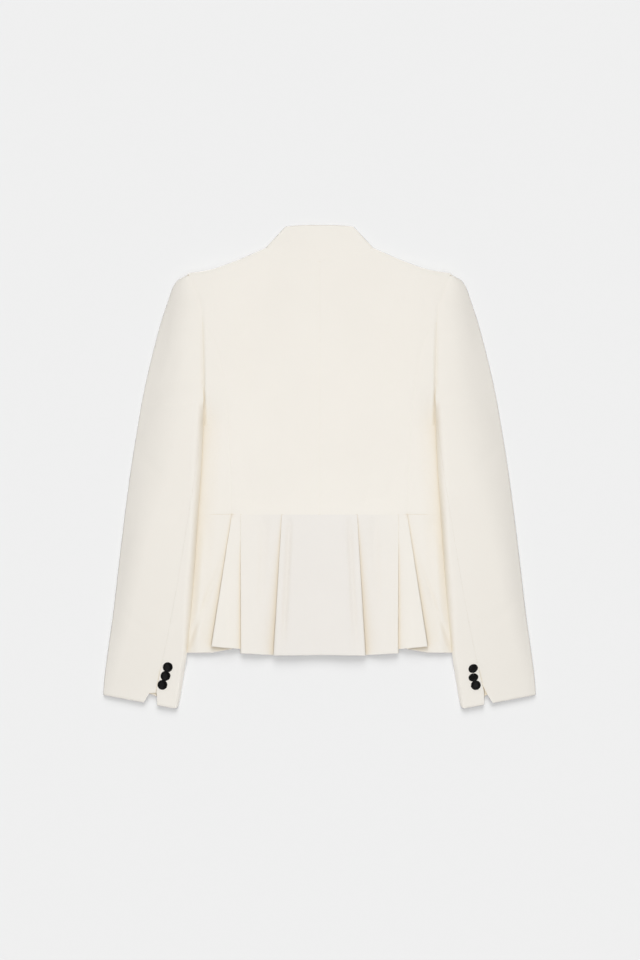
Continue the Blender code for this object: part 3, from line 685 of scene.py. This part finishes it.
def sleeve_upper(x, y, share):
    """Height of a sleeve's upper face at a share of its width, before its seams and creases."""
    set_in = read(SET_IN["y"], SET_IN["share"], y)
    inner, outer = sleeve_inner(y), sleeve_size("outer", y)
    start = set_in * back_top(inner, y) + (1 - set_in) * sleeve_size("height", y)
    rise, lean, fall, begin, full = (read(SLEEVE_SLOPES["y"], SLEEVE_SLOPES[key], y)
                                     for key in ("rise", "lean", "fall", "begin", "full"))
    near = np.minimum(share, begin)
    bend = np.clip(share - begin, 0, full - begin)
    climb = rise * (near - near ** 2 / (2 * begin)) - lean * share
    climb = climb - fall * (bend ** 2 / (2 * (full - begin)) + np.maximum(share - full, 0))
    return np.maximum(start + (outer - inner) * climb, sleeve_underside(x, y) + SLEEVE_EDGE)


def height_on_body(x, y, near, high):
    """How high the back holds up the sleeve's lower face, from the inner fold at the underarm."""
    held = np.minimum(back_top(x, y) + SEAM, high - SLEEVE_EDGE - ON_BODY["clear"])
    held = held * (1 - ease(near / ON_BODY["reach"]))
    held = held * ease((y - ON_BODY["low_y"]) / ON_BODY["slope"])
    return held * (1 - ease((y - ON_BODY["high_y"]) / ON_BODY["slope"]))


def sleeve_points(station, shares, is_upper, seam_share, name, step_up=0.0):
    """Outer and inner points of one face of a sleeve at one section, from shares of its width."""
    end_y = station - read(INNER_DROP["y"], INNER_DROP["drop"], station)
    start = np.array([sleeve_inner(end_y), end_y])
    end = np.array([sleeve_size("outer", station), station])
    set_in = read(SET_IN["y"], SET_IN["share"], end_y)
    x, y = (start + (end - start) * shares[:, None]).T
    width = end[0] - start[0]
    near, far = width * shares, width * (1 - shares)
    low, high = sleeve_underside(x, y), sleeve_upper(x, y, shares)
    flat = low + SLEEVE_EDGE
    high = flat + (high - flat) * rounded((HEAD_Y - station) / HEAD_ROUND)
    low = low - np.minimum(INNER_DIP, low) * (1 - ease(near / INNER_DIP_REACH)) * (1 - set_in)
    low = np.maximum(low, height_on_body(x, y, near, high))
    if is_upper:
        depth, lower = SLEEVE_CREASE_PLACES[name]
        high = high + depth * creases(x, y + lower, SLEEVE_CREASES)
        high = high + set_in * seam_dip(near, armhole_depth(end_y), ARMHOLE_GROOVE["sleeve"])
        high = high + seam_dip((shares - seam_share) * width, SLEEVE_SEAM_DIP * (1 - set_in)) + step_up
    shift = SLEEVE_WALL * (np.exp(-near / WALL_TURN) * (1 - set_in) - np.exp(-far / WALL_TURN))
    hem = ease((VENT_TOP_Y - station) / (VENT_TOP_Y - CUFF_Y))
    lift = CUFF_CORNER * (1 - rounded(near / CUFF_CORNER)) * hem
    lift = lift + (0 if is_upper else hem * UNDER_HEM_INSET * np.sqrt(np.sin(math.pi * shares)))
    faces = []
    for move, trim in ((0, 0), (shift, SLEEVE_WALL)):
        bottom, top = low + trim, high - trim
        half = (top - bottom) / 2
        roll = np.maximum(half, read(SLEEVE_ROLL["y"], SLEEVE_ROLL["width"], end_y)) if is_upper else half
        start_round = np.clip((near + move - trim * (1 - set_in)) / roll, 0, 1)
        closing = (1 - start_round) ** 2 * (1 - set_in) * 2
        ending = 1 - rounded((far - move - trim) / np.minimum(half, SLEEVE_RIM))
        if is_upper:
            z = top - half * np.minimum(closing * (1 - INNER_MEET) + ending, 2)
        else:
            z = bottom + half * np.minimum(closing * INNER_MEET + ending, 2)
        faces.append(np.stack([x + move, y + lift, z], axis=-1))
    return faces


def sleeve_seam(name, station):
    return np.interp(-station, -SEAMS["y"], SEAMS[name])


def top_sleeve_row(station, name):
    """One section of a top sleeve: below from its front seam to the outer fold, and back above."""
    front, back = sleeve_seam("front", station), sleeve_seam("top_" + name, station)
    lower = sleeve_points(station, front + (1 - front) * SPREAD, False, back, name)
    upper = sleeve_points(station, (back + (1 - back) * SPREAD)[::-1], True, back, name)
    return [np.concatenate([a, b[1:]]) for a, b in zip(lower, upper)]


def under_sleeve_row(station, name):
    """One section of an under sleeve: above from its underlap to the inner fold, and back below."""
    front, back = sleeve_seam("front", station), sleeve_seam("under_" + name, station)
    lap = VENT_LAP * ease((LAP_TOP_Y - station) / LAP_REACH)
    lap = lap * np.clip((station - LAP_HEM_Y[name]) / LAP_SLANT, 0, 1)
    beyond = back + np.maximum(lap, LAP_LEAST) * LAP_SHARES
    lowered = np.full(len(beyond), -LAP_DROP * ease((LAP_DROP_Y - station) / LAP_REACH))
    raised = VENT_RAISE["height"] * ease((VENT_RAISE["start_y"] - station) / VENT_RAISE["reach"])
    raised = raised * np.exp(-(TURNING - 1) ** 2 / VENT_RAISE["spread"])
    upper = sleeve_points(station, np.concatenate([beyond, back * TURNING]), True, back, name,
                          np.concatenate([lowered, raised]))
    lower = sleeve_points(station, front * TURNING[::-1], False, back, name)
    return [np.concatenate([a, b[1:]]) for a, b in zip(upper, lower)]


def make_sleeves(materials):
    head = HEAD_Y - HEAD_ROUND * (1 - np.cos(np.linspace(0, math.pi / 2, SLEEVE_ROWS["head"])))
    shoulder = np.linspace(head[-1], ARM_Y, SLEEVE_ROWS["shoulder"])
    stations = join(head, shoulder, np.linspace(ARM_Y, CUFF_Y, SLEEVE_ROWS["arm"]))
    under_stations = stations[stations <= UNDER_SLEEVE_START]
    for name in SIDES:
        for kind, make_row, places in (("top_sleeve", top_sleeve_row, stations),
                                       ("under_sleeve", under_sleeve_row, under_stations)):
            rows = [make_row(station, name) for station in places]
            outside, inside = np.array(rows).swapaxes(0, 1)
            cloth_piece(kind, name, outside, inside, materials[name])


# Buttons
BUTTONS = {
    "right": columns(
        "x y tilt lean",
        (219.2, -287.6, 42, 35),
        (219.4, -300.4, 45, 18),
        (222.9, -311.4, 24, 25),
    ),
    "left": columns(
        "x y tilt lean",
        (216.2, -285.5, 9, -6),
        (219.5, -298.0, 9, -4),
        (223.9, -310.7, 8, 3),
    ),
}
BUTTON_PROFILE = columns(
    "r z",
    (0.9, 1.35),
    (2.2, 1.3),
    (3.6, 1.45),
    (4.5, 1.95),
    (5.2, 2.45),
    (5.9, 2.5),
    (6.6, 2.15),
    (7.0, 1.55),
    (7.1, 1.0),
    (6.8, 0.45),
    (5.9, 0.05),
    (4.5, 0.0),
)
BUTTON_TURNS = 64
PROFILE_STEPS = 3
BUTTON_SHARP = 40.0
BUTTON_REST = 96  # a button rises until this percentage of its points clears the cloth
BUTTON_CLEAR = 0.5  # and then by this much more


def button_form():
    """Points and faces of a dished button that lies level."""
    turns = np.linspace(0, 2 * math.pi, BUTTON_TURNS, endpoint=False)
    profile = trace(list(zip(BUTTON_PROFILE["r"], BUTTON_PROFILE["z"])), PROFILE_STEPS)
    ring = np.stack([np.cos(turns), np.sin(turns), np.zeros_like(turns)], axis=-1)
    points = np.concatenate([ring * r + np.array([0, 0, z]) for r, z in profile])
    grid = np.arange(len(points)).reshape(len(profile), len(turns))
    beside = np.roll(grid, -1, axis=1)
    faces = np.stack([grid[:-1], grid[1:], beside[1:], beside[:-1]], axis=-1).reshape(-1, 4).tolist()
    return points, faces + [grid[0].tolist(), grid[-1][::-1].tolist()]


def set_button(points, x, y, tilt, lean):
    """Tilts a button about a line across it that is turned by the lean, and sets it on its sleeve."""
    axis = np.array([math.cos(lean), math.sin(lean), 0])
    square = np.array([-axis[1], axis[0], 0])
    across, up = points @ square, points[:, 2]
    placed = (points @ axis)[:, None] * axis
    placed = placed + (across * math.cos(tilt) + up * math.sin(tilt))[:, None] * square
    placed[:, 2] = up * math.cos(tilt) - across * math.sin(tilt)
    placed = placed + np.array([x, y, 0])
    out, along = np.abs(placed[:, 0]), placed[:, 1]
    inner, outer = sleeve_size("inner", along), sleeve_size("outer", along)
    cloth = sleeve_upper(out, along, (out - inner) / (outer - inner))
    placed[:, 2] += np.percentile(cloth - placed[:, 2], BUTTON_REST) + BUTTON_CLEAR
    return placed


def make_buttons(material):
    points, faces = button_form()
    for name, side in SIDES.items():
        for number, (x, y, *angles) in enumerate(zip(*BUTTONS[name].values()), start=1):
            placed = set_button(points, side * x, y, *np.radians(angles))
            piece = add_mesh(f"button_{name}_{number}_black", placed, faces, material, BUTTON_SHARP)
            piece.visible_shadow = False
            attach(piece, "root")
            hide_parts(f"button_{name}_{number}")


# Materials
WHITE = (1, 1, 1)
CLOTH = (0.862, 0.827, 0.764)
CLOTH_SHADE = (0.838, 0.801, 0.738)
THREAD_PITCH = 0.55
WAVE_UNIT = 2 * math.pi / 20  # length of one wave of the wave texture at scale 1
BUMP_HEIGHT = 0.0001  # in metres
GRAINS = {"right": -8, "left": 8}  # turn of the sleeves' threads in degrees
# Painted shade: the cloth is darkened and warmed in its folds, creases and crevices by ambient occlusion,
# standing in for the shade that falls there
PAINTED_SHADE_REACH = 30.0
FAINT_PAINTED_SHADE = (0.93, 0.89, 0.82)
SLEEVE_PAINTED_FOLD_SHADE = (0.75, 0.64, 0.42)
BODY_PAINTED_FOLD_SHADE = (0.80, 0.72, 0.56)
PEPLUM_PAINTED_FOLD_SHADE = (0.79, 0.71, 0.57)
PEPLUM_MIDDLE_PAINTED_SHADE = (0.96, 0.965, 0.99)  # painted shade: darker and cooler in the peplum's middle
PEPLUM_MIDDLE_PAINTED_SHADE_REACH = 130.0
BUTTON_BLACKS = ((0.002, 0.002, 0.002), (0.004, 0.0037, 0.0037))
FLOOR = (0.30, 0.30, 0.30)
FLOOR_GRAIN = 0.995
BACKDROP = (0.871, 0.871, 0.871)


class Nodes:
    """Short calls for building a material from nodes."""

    def __init__(self, name):
        self.material = bpy.data.materials.new(name)
        self.material.use_nodes = True
        self.tree = self.material.node_tree
        self.shader = self.tree.nodes["Principled BSDF"]

    def add(self, kind, settings=(), **inputs):
        node = self.tree.nodes.new("ShaderNode" + kind)
        for key, value in dict(settings).items():
            setattr(node, key, value)
        for key, value in inputs.items():
            self.feed(node.inputs[key.replace("_", " ")], value)
        return node

    def feed(self, socket, value):
        if isinstance(value, bpy.types.NodeSocket):
            self.tree.links.new(value, socket)
        else:
            socket.default_value = value

    def surface(self, **inputs):
        for key, value in inputs.items():
            self.feed(self.shader.inputs[key.replace("_", " ")], value)

    def math(self, operation, first, second):
        node = self.add("Math", {"operation": operation})
        self.feed(node.inputs[0], first)
        self.feed(node.inputs[1], second)
        return node.outputs[0]

    def scaled(self, value, factor):
        return self.math("MULTIPLY", value, factor)

    def multiply(self, first, second):
        """Two colours multiplied. The Mix node has its colour sockets at these places."""
        node = self.add("Mix", {"data_type": "RGBA", "blend_type": "MULTIPLY"})
        for place, value in ((0, 1.0), (6, first), (7, second)):
            self.feed(node.inputs[place], value)
        return node.outputs[2]

    def ramp(self, value, *stops):
        node = self.add("ValToRGB", Fac=value)
        stops_now = node.color_ramp.elements
        while len(stops_now) < len(stops):
            stops_now.new(0.5)
        for stop, (place, colour) in zip(stops_now, stops):
            stop.position = place
            stop.color = (*colour, 1)
        return node.outputs["Color"]

    def noise(self, place, **inputs):
        return self.add("TexNoise", Vector=place, **inputs).outputs["Fac"]

    def bump(self, height, strength):
        return self.add("Bump", Height=height, Strength=strength, Distance=BUMP_HEIGHT).outputs["Normal"]


def ivory_cloth(name, grain, deepest_painted_shade, middle_painted_shade=WHITE):
    """Ivory suiting: two crossed sets of threads, slightly uneven, with a faint slub and nap. It has painted
    shade in its folds and crevices, darker and warmer where ambient occlusion finds cloth close by."""
    nodes = Nodes(name)
    place = nodes.add("TexCoord").outputs["Object"]
    turned = nodes.add("Mapping", Vector=place, Rotation=(0, 0, math.radians(grain))).outputs["Vector"]
    threads = []
    for direction in "XY":
        settings = {"wave_type": "BANDS", "bands_direction": direction, "wave_profile": "SIN"}
        wave = nodes.add("TexWave", settings, Vector=turned, Scale=WAVE_UNIT / (THREAD_PITCH * MM),
                         Distortion=1.2, Detail=2.0, Detail_Scale=0.35)
        threads.append(wave.outputs["Fac"])
    weave = nodes.math("MAXIMUM", *threads)
    drawn_out = nodes.add("Mapping", Vector=turned, Scale=(1, 0.08, 1)).outputs["Vector"]
    slub = nodes.noise(drawn_out, Scale=900.0, Detail=2.0)
    nap = nodes.noise(place, Scale=2600.0, Detail=2.0)
    cloud = nodes.noise(place, Scale=9.0, Detail=3.0, Roughness=0.55)
    height = nodes.math("ADD", weave, nodes.math("ADD", nodes.scaled(slub, 0.5), nodes.scaled(nap, 0.4)))
    tone = nodes.math("ADD", nodes.scaled(weave, 0.35), nodes.scaled(cloud, 0.65))
    plain = nodes.ramp(tone, (0.25, CLOTH_SHADE), (0.75, CLOTH))
    # painted shade: the peplum is darker and cooler towards its middle
    off_middle = nodes.math("ABSOLUTE", nodes.add("SeparateXYZ", Vector=place).outputs["X"], 0)
    off_middle = nodes.math("DIVIDE", off_middle, PEPLUM_MIDDLE_PAINTED_SHADE_REACH * MM)
    plain = nodes.multiply(plain, nodes.ramp(off_middle, (0.3, middle_painted_shade), (1, WHITE)))
    # painted shade: darker and warmer where ambient occlusion finds surfaces close by, in folds and crevices
    open_share = nodes.add("AmbientOcclusion", {"samples": 12}, Distance=PAINTED_SHADE_REACH * MM).outputs["AO"]
    painted_shade_colour = nodes.ramp(open_share, (0.2, deepest_painted_shade), (0.88, FAINT_PAINTED_SHADE), (0.975, WHITE))
    nodes.surface(Base_Color=nodes.multiply(plain, painted_shade_colour), Normal=nodes.bump(height, 0.35),
                  Roughness=nodes.math("ADD", 0.8, nodes.scaled(nap, 0.15)),
                  Specular_IOR_Level=0.15, Sheen_Weight=0.08, Sheen_Roughness=0.5)
    return nodes.material


def black_button():
    nodes = Nodes("button_black")
    grain = nodes.noise(nodes.add("TexCoord").outputs["Object"], Scale=700.0, Detail=3.0)
    colour = nodes.ramp(grain, (0.3, BUTTON_BLACKS[0]), (0.75, BUTTON_BLACKS[1]))
    nodes.surface(Base_Color=colour, Normal=nodes.bump(grain, 0.15),
                  Roughness=nodes.math("ADD", 0.42, nodes.scaled(grain, 0.12)), Specular_IOR_Level=0.12)
    return nodes.material


def pale_floor():
    nodes = Nodes("floor_pale")
    grain = nodes.noise(nodes.add("TexCoord").outputs["Object"], Scale=60.0, Detail=4.0)
    colour = nodes.ramp(grain, (0.2, tuple(FLOOR_GRAIN * c for c in FLOOR)), (0.8, FLOOR))
    nodes.surface(Base_Color=colour, Roughness=0.9, Specular_IOR_Level=0.0)
    return nodes.material


def pale_backdrop():
    nodes = Nodes("backdrop_pale")
    nodes.surface(Base_Color=(0, 0, 0, 1), Specular_IOR_Level=0.0,
                  Emission_Color=(*BACKDROP, 1), Emission_Strength=1.0)
    nodes.material.cycles.emission_sampling = "NONE"
    return nodes.material


# Floor, light and camera, in metres
PIXEL = 1.43 * MM
FRAME_SIZE = (640, 960)
FRAME_CENTRE = (319.5, 467.0)  # the pixel of the photo that lies over the origin
LENS = 84.0
SENSOR = 36.0
FLOOR_REACH = 30.0
FLOOR_DROP = 0.0003
BACKDROP_HEIGHT = 9.0
AMBIENT = 0.15
STRIP_SIZE = (0.22, 3.0)
STRIP_PLACE = (0, -0.02, 0.9)
STRIP_POWER = 12.8
SUN_PLACE = (0, 0, 2)
SUNS = {
    "window": {"lights": "garment", "power": 0.45, "angle": 65, "tilt": -46, "shadow": True},
    "floor_window": {"lights": "floor", "power": 4.25, "angle": 38, "tilt": -48, "shadow": True},
    "floor_top": {"lights": "floor", "power": 2.0, "angle": 80, "tilt": 0, "shadow": True},
    "floor_fill": {"lights": "floor", "power": 3.8, "angle": 1, "tilt": 0, "shadow": False},
}


def stage_piece(name, points, faces, material):
    mesh = bpy.data.meshes.new(name)
    mesh.from_pydata(points, [], faces)
    mesh.materials.append(material)
    piece = bpy.data.objects.new(name, mesh)
    piece.location.z = -FLOOR_DROP
    piece.visible_shadow = False
    bpy.context.scene.collection.objects.link(piece)
    return piece


def add_floor():
    """The floor, and far off round it a backdrop that hides the horizon in low views and lights nothing."""
    corners = [(x * FLOOR_REACH, y * FLOOR_REACH) for x, y in ((-1, -1), (1, -1), (1, 1), (-1, 1))]
    floor = stage_piece("floor", [(x, y, 0) for x, y in corners], [(0, 1, 2, 3)], pale_floor())
    upright = [(x, y, z) for z in (0, BACKDROP_HEIGHT) for x, y in corners]
    walls = [(k, (k + 1) % 4, (k + 1) % 4 + 4, k + 4) for k in range(4)]
    backdrop = stage_piece("backdrop", upright, walls, pale_backdrop())
    backdrop.visible_diffuse = False
    backdrop.visible_glossy = False
    return floor


def add_camera():
    camera = bpy.data.objects.new("camera", bpy.data.cameras.new("camera"))
    camera.data.lens = LENS
    camera.data.sensor_fit = "VERTICAL"
    camera.data.sensor_height = SENSOR
    camera.location = ((FRAME_SIZE[0] / 2 - FRAME_CENTRE[0]) * PIXEL,
                       (FRAME_CENTRE[1] - FRAME_SIZE[1] / 2) * PIXEL,
                       FRAME_SIZE[1] * PIXEL * LENS / SENSOR)
    bpy.context.scene.collection.objects.link(camera)
    bpy.context.scene.camera = camera


def add_world():
    world = bpy.data.worlds.new("studio")
    world.use_nodes = True
    background = world.node_tree.nodes["Background"]
    background.inputs["Color"].default_value = (*WHITE, 1)
    background.inputs["Strength"].default_value = AMBIENT
    bpy.context.scene.world = world


def add_light(lamp, place, tilt, receivers):
    """A lamp over the blazer that lights only the given objects."""
    light = bpy.data.objects.new(lamp.name, lamp)
    light.location = place
    light.rotation_euler = (math.radians(tilt), 0, 0)
    bpy.context.scene.collection.objects.link(light)
    lit = bpy.data.collections.new(lamp.name + "_lights")
    for item in receivers:
        lit.objects.link(item)
    light.light_linking.receiver_collection = lit


def add_strip(receivers):
    """A long strip of light over the middle of the back, as strong at the hem as at the collar."""
    strip = bpy.data.lights.new("strip", "AREA")
    strip.shape = "RECTANGLE"
    strip.size, strip.size_y = STRIP_SIZE
    strip.energy = STRIP_POWER
    strip.use_nodes = True
    nodes = strip.node_tree.nodes
    falloff = nodes.new("ShaderNodeLightFalloff")
    falloff.inputs["Strength"].default_value = 1
    strip.node_tree.links.new(falloff.outputs["Constant"], nodes["Emission"].inputs["Strength"])
    add_light(strip, STRIP_PLACE, 0, receivers)


def set_stage():
    scene = bpy.context.scene
    receivers = {"garment": [item for item in scene.objects if item.type == "MESH"]}
    receivers["floor"] = [add_floor()]
    add_camera()
    add_world()
    add_strip(receivers["garment"])
    for name, row in SUNS.items():
        sun = bpy.data.lights.new(name, "SUN")
        sun.energy = row["power"]
        sun.angle = math.radians(row["angle"])
        sun.use_shadow = row["shadow"]
        add_light(sun, SUN_PLACE, row["tilt"], receivers[row["lights"]])
    scene.view_settings.view_transform = "Standard"


straight_cloth = ivory_cloth("ivory_cloth", 0, BODY_PAINTED_FOLD_SHADE)
sleeve_cloths = {name: ivory_cloth(f"ivory_cloth_{name}_sleeve", grain, SLEEVE_PAINTED_FOLD_SHADE)
                 for name, grain in GRAINS.items()}
make_backs(straight_cloth)
make_side_backs(straight_cloth)
make_fronts(straight_cloth)
make_collar(straight_cloth)
make_peplum(ivory_cloth("ivory_cloth_peplum", 0, PEPLUM_PAINTED_FOLD_SHADE, PEPLUM_MIDDLE_PAINTED_SHADE))
make_sleeves(sleeve_cloths)
make_buttons(black_button())
set_stage()
